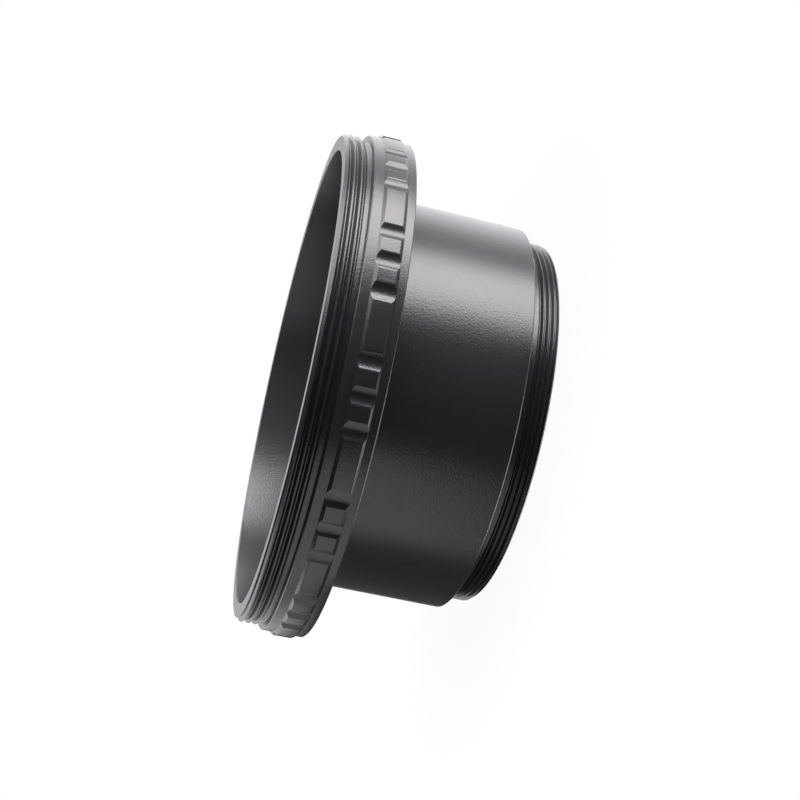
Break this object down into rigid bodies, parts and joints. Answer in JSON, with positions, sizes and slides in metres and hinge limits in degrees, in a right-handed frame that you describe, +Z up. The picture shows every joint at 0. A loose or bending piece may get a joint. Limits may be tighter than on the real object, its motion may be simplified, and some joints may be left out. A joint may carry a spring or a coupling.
{
  "type": "telescope adapter ring",
  "caption": "Short black stepped tube with a male thread at each end, a smooth barrel and a flange with a milled grip band.",
  "frame": {"origin": "centre of the small end face, which the ring stands on", "axes": "+Z up along the common axis of both threads, from the small end to the large end; the middle groove of the first grip group faces -Y"},
  "size_m": [0.074, 0.074, 0.0327],
  "materials": {
    "black_anodised": "matt bead-blasted black anodised"
  },
  "bodies": {
    "root": {"adapter_ring": "black_anodised"}
  },
  "joints": []
}
